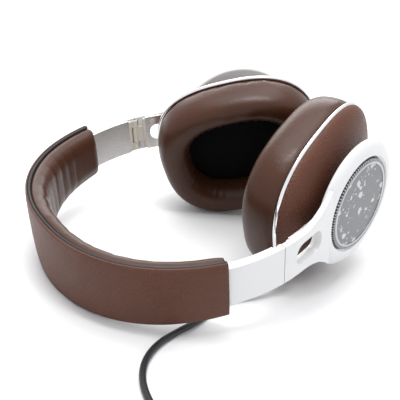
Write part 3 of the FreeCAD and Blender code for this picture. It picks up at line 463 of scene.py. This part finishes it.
# middle and axes of each yoke's ring at rest, in mm: z out of the disc's face
RING_FRAMES = {
    "right": (
        (53.7, -55.124, 42.678),
        (0.93781, 0.28597, 0.1968),
        (-0.19036, -0.05044, 0.98042),
        (0.2903, -0.95691, 0.00714),
    ),
    "left": (
        (53.7, 53.846, 48.284),
        (0.93781, -0.30466, 0.16642),
        (-0.19036, -0.05044, 0.98042),
        (0.2903, 0.95112, 0.1053),
    ),
}


def cup_to_row(side, points):
    """Points in a cup's own frame to the row frame, in mm."""
    origin, x, y, z = (np.array(v) for v in CUP_FRAMES[side])
    return origin + np.asarray(points) @ np.stack([x, y, z])


def contact_plane():
    """Normal and offset of the plane in which the two cushions press on each other."""
    right, left = (np.array(CUP_FRAMES[side]) for side in SIDES)
    normal = right[3] - left[3]
    length = np.linalg.norm(normal)
    offset = (right[3] @ right[0] - left[3] @ left[0]) / length + CONTACT_SHIFT
    return normal / length, offset


def press_flat(side, points):
    """Hold the points back where they would pass the contact plane."""
    normal, offset = contact_plane()
    sign = 1.0 if side == "right" else -1.0
    room = sign * (points @ normal - offset) - CONTACT_ROOM
    held = CONTACT_SOFTNESS * np.logaddexp(0.0, room / CONTACT_SOFTNESS)
    return points + sign * (held - room)[:, None] * normal


def smooth_path(points, count):
    """Evenly spread points on a smooth curve through the given ones."""
    p = np.asarray(points, float)
    q = np.vstack([2 * p[0] - p[1], p, 2 * p[-1] - p[-2]])
    out = []
    for i in range(1, len(q) - 2):
        for t in np.linspace(0.0, 1.0, 12, endpoint=False):
            a, b, c, d = q[i - 1], q[i], q[i + 1], q[i + 2]
            bend = (2 * a - 5 * b + 4 * c - d) * t * t + (3 * b - a - 3 * c + d) * t**3
            out.append(0.5 * (2 * b + (c - a) * t + bend))
    out.append(p[-1])
    out = np.array(out)
    run = np.concatenate([[0.0], np.cumsum(np.linalg.norm(np.diff(out, axis=0), axis=1))])
    marks = np.linspace(0.0, run[-1], count)
    return np.stack([np.interp(marks, run, out[:, k]) for k in range(2)], 1), marks


def oval_angles(count):
    """Angles that share the oval's edge out evenly."""
    fine = np.linspace(0.0, FULL_TURN, 4001)
    x = CUP_HALF_LENGTH * np.abs(np.cos(fine)) ** CUP_POWER * np.sign(np.cos(fine))
    y = CUP_HALF_WIDTH * np.abs(np.sin(fine)) ** CUP_POWER * np.sign(np.sin(fine))
    run = np.concatenate([[0.0], np.cumsum(np.hypot(np.diff(x), np.diff(y)))])
    return np.interp(np.arange(count) * run[-1] / count, run, fine), run[-1]


def oval_grid(profile, count):
    """Points of an oval ring: profile holds (inset, z); rows follow the profile."""
    angles, _ = oval_angles(count)
    cos, sin = np.cos(angles), np.sin(angles)
    rows = []
    for inset, z in profile:
        x = (CUP_HALF_LENGTH - inset) * np.abs(cos) ** CUP_POWER * np.sign(cos)
        y = (CUP_HALF_WIDTH - inset) * np.abs(sin) ** CUP_POWER * np.sign(sin)
        rows.append(np.stack([x, y, np.full(count, z)], 1))
    return np.array(rows)


def grid_mesh(name, grid, marks, reach, closed_rows=False, caps=False, closed_columns=True):
    """Mesh of rows by columns with a map in metres; caps close the ends of each column strip."""
    rows, columns = grid.shape[:2]
    faces, maps = [], []
    for i in range(rows if closed_rows else rows - 1):
        for j in range(columns if closed_columns else columns - 1):
            i2, j2 = (i + 1) % rows, (j + 1) % columns
            faces.append((i * columns + j, i * columns + j2, i2 * columns + j2, i2 * columns + j))
            u0, u1 = j * reach / columns, (j + 1) * reach / columns
            v0, v1 = marks[i], marks[i + 1] if i + 1 < len(marks) else marks[i] + 1.0
            maps += [(u0, v0), (u1, v0), (u1, v1), (u0, v1)]
    if caps:
        for j in (0, columns - 1):
            loop = [i * columns + j for i in range(rows)]
            faces.append(tuple(loop if j else reversed(loop)))
            maps += [(grid[i, j, 1], grid[i, j, 2]) for i in range(rows)]
    mesh = bpy.data.meshes.new(name)
    mesh.from_pydata((grid.reshape(-1, 3) / MM_PER_METRE).tolist(), [], faces)
    layer = mesh.uv_layers.new(name="UVMap")
    layer.data.foreach_set("uv", (np.array(maps, float) / MM_PER_METRE).ravel())
    mesh.validate()
    mesh.shade_smooth()
    scratch = bmesh.new()
    scratch.from_mesh(mesh)
    bmesh.ops.recalc_face_normals(scratch, faces=scratch.faces)
    scratch.to_mesh(mesh)
    scratch.free()
    obj = bpy.data.objects.new(name, mesh)
    bpy.context.scene.collection.objects.link(obj)
    return obj


def waviness(angles, count, low, high, decay=1.0):
    """Sum of seeded waves round a ring, about one high in all."""
    total = np.zeros_like(angles)
    for _ in range(count):
        order = RNG.integers(low, high)
        total += RNG.normal() / order**decay * np.cos(order * angles + RNG.uniform(0.0, FULL_TURN))
    return total / max(1e-9, np.abs(total).max())


def make_cushion(side):
    """Soft ring: bulging side, a tucked seam at the trim, a rolled face and small puckers at the opening."""
    profile, marks = smooth_path(CUSHION_SECTION, 64)
    grid = oval_grid(profile, RING_COLUMNS)
    angles = np.arange(RING_COLUMNS) * FULL_TURN / RING_COLUMNS
    swell = waviness(angles, 8, 2, 7)
    pucker = waviness(angles, 26, 30, 62, 0.3)
    sag = waviness(angles, 14, 9, 22, 0.5)
    for row, (inset, z) in enumerate(profile):
        face = math.exp(-(((inset - 9.0) / 5.0) ** 2)) * (1.0 if z < -15.0 else 0.0)
        mouth = math.exp(-(((inset - 15.5) / 2.2) ** 2)) * (1.0 if z < -8.0 else 0.0)
        grid[row, :, 2] += 0.28 * swell * face + 0.22 * sag * face + 0.35 * pucker * mouth
        edge = math.exp(-(((z + 3.4) / 1.6) ** 2)) * (1.0 if inset < 2.0 else 0.0)
        centre = grid[row, :, :2]
        out = centre / np.linalg.norm(centre, axis=1)[:, None]
        grid[row, :, :2] += out * (0.16 * pucker * edge + 0.2 * sag * edge + 0.3 * pucker * mouth)[:, None]
    pressed = press_flat(side, cup_to_row(side, grid.reshape(-1, 3)))
    _, reach = oval_angles(RING_COLUMNS)
    obj = grid_mesh("Cushion_" + side, pressed.reshape(grid.shape), marks, reach, closed_rows=True)
    assign(obj, pad_leather)
    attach(obj, "cup_" + side)
    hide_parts("ear_cushion_" + side)
    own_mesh(obj)


def make_trim(side):
    """Bright rounded bead between the shell and the cushion."""
    turns = np.linspace(0.0, FULL_TURN, 14, endpoint=False)
    profile = [(0.55 - 1.15 * math.cos(t), 0.98 * math.sin(t)) for t in turns]
    grid = oval_grid(profile, RING_COLUMNS)
    marks = np.arange(len(profile)) * 0.5
    _, reach = oval_angles(RING_COLUMNS)
    row = cup_to_row(side, grid.reshape(-1, 3)).reshape(grid.shape)
    obj = grid_mesh("Trim_" + side, row, marks, reach, closed_rows=True)
    assign(obj, chrome)
    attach(obj, "cup_" + side)
    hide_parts("trim_ring_" + side)


def band_half_width(station):
    """Half the width of the headband at a station."""
    return float(np.interp(abs(station), [w[0] for w in BAND_WIDTHS], [w[1] for w in BAND_WIDTHS]))


def band_grid(stations, profile):
    """Rows follow the section, columns go along the band; the profile gives (offset, height) at a station."""
    columns = [lie([curve_point(s, o, z) for o, z in profile(s)]) * MM_PER_METRE for s in stations]
    return np.array(columns).transpose(1, 0, 2)


def make_cover():
    """Outer leather of the headband, slightly crowned, with painted edges."""
    stations = np.linspace(-BAND_HALF_LENGTH, BAND_HALF_LENGTH, BAND_COLUMNS)
    across = np.linspace(-1.0, 1.0, 21)
    under_rows = {len(across), len(across) + 1}

    def profile(station):
        w = band_half_width(station)
        outer = [(0.35 * abs(t) ** 6 - 0.25 * (1 - t * t), w * t) for t in across]
        return outer + [(1.15, w), (1.15, -w)]

    grid = band_grid(stations, profile)
    marks = np.arange(len(grid)) * COVER_WIDTH / (len(across) - 1)
    obj = grid_mesh("Cover", grid, marks, 2 * BAND_HALF_LENGTH, closed_rows=True, caps=True, closed_columns=False)
    assign(obj, cover_leather)
    obj.data.materials.append(edge_paint)
    for face in obj.data.polygons:
        rows = {v // len(stations) for v in face.vertices}
        if len(face.vertices) > 4:
            face.material_index = 1
        if len(face.vertices) > 4 or rows & under_rows:
            face.use_smooth = False
    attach(obj, "headband")
    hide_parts("headband_cover")


def make_pad():
    """Stuffed inner leather of the headband, creased across where it bends most."""
    half = BAND_HALF_LENGTH - 0.4
    stations = np.linspace(-half, half, PAD_COLUMNS)
    creases = []
    place = -84.0
    while place < 84.0:
        creases.append((place, RNG.uniform(0.5, 1.0), RNG.uniform(1.4, 2.4), RNG.uniform(-0.12, 0.12)))
        place += RNG.uniform(7.0, 12.5)

    def profile(station):
        w = band_half_width(station) - 1.0
        end = 1.0 - 0.55 * math.exp(-(half - abs(station)) / 1.6)
        outline = [
            (2.75, w - 0.1), (4.2, w + 0.2), (6.4, w - 0.1), (8.8, w - 1.7), (10.5, w - 5.4), (11.0, w * 0.45),
            (11.1, 0.0),
        ]
        section, _ = smooth_path(outline, 20)
        section = [tuple(p) for p in section]
        section += [(o, -z) for o, z in section[-2::-1]]
        out = []
        for offset, z in section:
            share = z / w
            inward = min(1.0, max(0.0, (offset - 3.2) / 6.4))
            dent = 0.0
            for mark, depth, spread, slant in creases:
                gap = (station - mark - slant * z) / spread
                dent += depth * math.exp(-gap * gap)
            strength = 0.25 + 0.75 * math.exp(-((station / 60.0) ** 2))
            offset -= 0.75 * dent * inward * strength * (1.0 - 0.35 * share * share)
            out.append((6.05 + (offset - 6.05) * end if offset > 6.05 else offset, z * (1.0 - 0.02 * (1 - end))))
        w2 = w - 1.0
        return out + [(2.75, -w2), (6.02, -w2), (6.02, w2), (2.75, w2)]

    grid = band_grid(stations, profile)
    marks = np.arange(len(grid)) * 1.3
    obj = grid_mesh("Pad", grid, marks, 2 * half, closed_rows=True, caps=True, closed_columns=False)
    for face in obj.data.polygons:
        if len(face.vertices) > 4:
            face.use_smooth = False
    assign(obj, pad_leather)
    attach(obj, "headband")
    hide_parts("headband_pad")


def make_piping(name, sign):
    """Thin round piping between the outer and the inner leather along one long edge."""
    stations = np.linspace(-BAND_HALF_LENGTH + 0.2, BAND_HALF_LENGTH - 0.2, BAND_COLUMNS)
    turns = np.linspace(0.0, FULL_TURN, 10, endpoint=False)

    def profile(station):
        edge = band_half_width(station) - 0.72
        return [(1.95 + 0.78 * math.cos(t), sign * (edge + 0.85 * math.sin(t))) for t in turns]

    obj = grid_mesh(
        "Piping_" + name, band_grid(stations, profile), np.arange(len(turns)) * 0.4, 2 * BAND_HALF_LENGTH,
        closed_rows=True, caps=True, closed_columns=False,
    )
    assign(obj, piping_leather)
    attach(obj, "headband")
    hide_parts("piping_" + name)


def knurl_metal(side):
    """Dark ring with bright upright ribs all round."""
    n = Nodes("Knurl_" + side)
    origin = Vector(RING_FRAMES[side][0]) / MM_PER_METRE
    facing = Matrix(RING_FRAMES[side][1:])
    turned = n.place(turn=facing.to_euler(), move=-(facing @ origin))
    ribs = n.math("FRACT", n.math("MULTIPLY", n.angle(turned), 96.0), 0.0)
    rib = n.span(n.math("ABSOLUTE", n.math("SUBTRACT", ribs, 0.5), 0.0), 0.18, 0.3, 0.0, 1.0)
    dust = n.noise(n.place(), 700.0, 3.0)
    n.colour(n.blend(rib, (0.42, 0.43, 0.44), (0.012, 0.012, 0.014)))
    n.rough(n.span(dust, 0.3, 0.7, 0.24, 0.36))
    n.bump([(rib, 0.6, 0.0002)])
    n.const(Metallic=0.8)
    return n.material


def soften(bases, width):
    """Small rounded edges on hard CAD pieces."""
    for obj in pieces(bases):
        bevel = obj.modifiers.new("Edges", "BEVEL")
        bevel.width = width
        bevel.segments = 3
        bevel.limit_method = "ANGLE"
        bevel.angle_limit = math.radians(50.0)
        bevel.harden_normals = False


make_cover()
make_pad()
make_piping("front", 1)
make_piping("back", -1)
soften(["yoke", "arm_shell"], 0.0004)
for side in SIDES:
    facing = Matrix(CUP_FRAMES[side][1:])
    shell_leather = outer_leather("ShellLeather_" + side, COVER_BROWN, COVER_DARK, "Object", GRAIN_PITCH, facing)
    assign(NODES["cup_shell_" + side], shell_leather)
    assign(NODES["knurled_ring_" + side], knurl_metal(side))
    make_cushion(side)
    make_trim(side)


# ---- cord ----------------------------------------------------------------------------------------------
CORD_RADIUS = 1.5
CORD_ROUTE = (
    (8.67, -51.56, 10.13),
    (2.6, -51.34, 5.75),
    (-5.0, -49.5, 2.1),
    (-14.0, -48.3, 1.5),
    (-25.0, -51.8, 1.5),
    (-36.0, -56.4, 1.5),
    (-48.0, -58.8, 1.5),
    (-59.5, -62.2, 1.5),
    (-69.5, -69.0, 1.5),
    (-76.5, -79.0, 1.5),
    (-80.0, -91.0, 1.5),
    (-80.5, -104.0, 1.8),
    (-78.5, -116.0, 2.1),
)
TAIL_ROUTE = (
    (-101.0, -138.5, 5.1),
    (-111.5, -138.3, 4.5),
    (-121.0, -134.5, 3.9),
    (-127.3, -126.5, 3.6),
    (-129.6, -116.7, 3.6),
)
COIL_CENTRE = (-101.0, -116.0)
COIL_RADII = (22.5, 10.5)
COIL_LEVELS = (2.1, 5.1)
COIL_POINTS_PER_TURN, COIL_QUARTER_TURNS = 14, 41


def coil_points():
    """Two flat spirals on each other: in on the lower level and out on the upper one, clockwise."""
    outer, inner = COIL_RADII
    total = int(COIL_POINTS_PER_TURN * COIL_QUARTER_TURNS / 4)
    points = []
    for i in range(1, total):
        t = i / total
        fold = 1.0 - abs(2.0 * t - 1.0)
        radius = outer - (outer - inner) * fold
        climb = min(1.0, max(0.0, (t - 0.47) / 0.06))
        level = COIL_LEVELS[0] + (COIL_LEVELS[1] - COIL_LEVELS[0]) * climb
        angle = -FULL_TURN * i / COIL_POINTS_PER_TURN
        points.append((
            COIL_CENTRE[0] + radius * math.cos(angle),
            COIL_CENTRE[1] + radius * math.sin(angle),
            level,
        ))
    return points


def make_cord():
    """The lead from the cup to the plug: a run on the surface, the coil and a short tail."""
    points = list(CORD_ROUTE) + coil_points() + list(TAIL_ROUTE)
    curve = bpy.data.curves.new("Lead", "CURVE")
    curve.dimensions = "3D"
    curve.bevel_depth = CORD_RADIUS / MM_PER_METRE
    curve.bevel_resolution = 5
    curve.use_fill_caps = True
    spline = curve.splines.new("NURBS")
    spline.points.add(len(points) - 1)
    for point, place in zip(spline.points, points):
        point.co = (*(v / MM_PER_METRE for v in place), 1.0)
    spline.order_u = 3
    spline.use_endpoint_u = True
    spline.resolution_u = 8
    lead = bpy.data.objects.new("Lead", curve)
    bpy.context.scene.collection.objects.link(lead)
    curve.materials.append(cord_jacket)
    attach(lead, "headband")
    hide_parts("cord", "cord_coil")


make_cord()


# ---- stage ---------------------------------------------------------------------------------------------
def make_floor():
    """White paper under the headphones."""
    mesh = bpy.data.meshes.new("Floor")
    reach, low = 6.0, -0.0002
    mesh.from_pydata(
        [(-reach, -reach, low), (reach, -reach, low), (reach, reach, low), (-reach, reach, low)], [], [(0, 1, 2, 3)]
    )
    floor = bpy.data.objects.new("Floor", mesh)
    bpy.context.scene.collection.objects.link(floor)
    n = Nodes("FloorPaper")
    broad = n.noise(n.place(), 3.0, 3.0)
    n.colour(n.blend(broad, (0.75, 0.75, 0.752), (0.77, 0.77, 0.772)))
    n.rough(0.6)
    n.bump([(n.noise(n.place(), 220.0, 3.0), 0.04, 0.0001)])
    assign(floor, n.material)


def area_light(name, place, aim, size, power):
    """Rectangular light at a place, turned to a point."""
    data = bpy.data.lights.new(name, "AREA")
    data.shape = "RECTANGLE"
    data.size, data.size_y = size
    data.energy = power
    light = bpy.data.objects.new(name, data)
    bpy.context.scene.collection.objects.link(light)
    light.location = place
    light.rotation_euler = (Vector(aim) - Vector(place)).to_track_quat("-Z", "Y").to_euler()


def make_light():
    """Bright even surroundings with three soft lights from above."""
    world = bpy.data.worlds.new("Studio")
    bpy.context.scene.world = world
    world.use_nodes = True
    background = world.node_tree.nodes["Background"]
    background.inputs["Color"].default_value = (0.97, 0.98, 1.0, 1.0)
    background.inputs["Strength"].default_value = 1.02
    area_light("Top", (0.05, 0.15, 0.9), (0.0, 0.0, 0.0), (0.9, 0.7), 5.4)
    area_light("Back", (0.35, 0.75, 0.45), (0.0, 0.0, 0.05), (0.9, 0.4), 3.4)
    area_light("Strip", (-0.12, -0.1, 0.8), (0.05, 0.03, 0.05), (0.4, 0.07), 3.0)


make_floor()
make_light()
bpy.context.scene.view_settings.view_transform = "Standard"
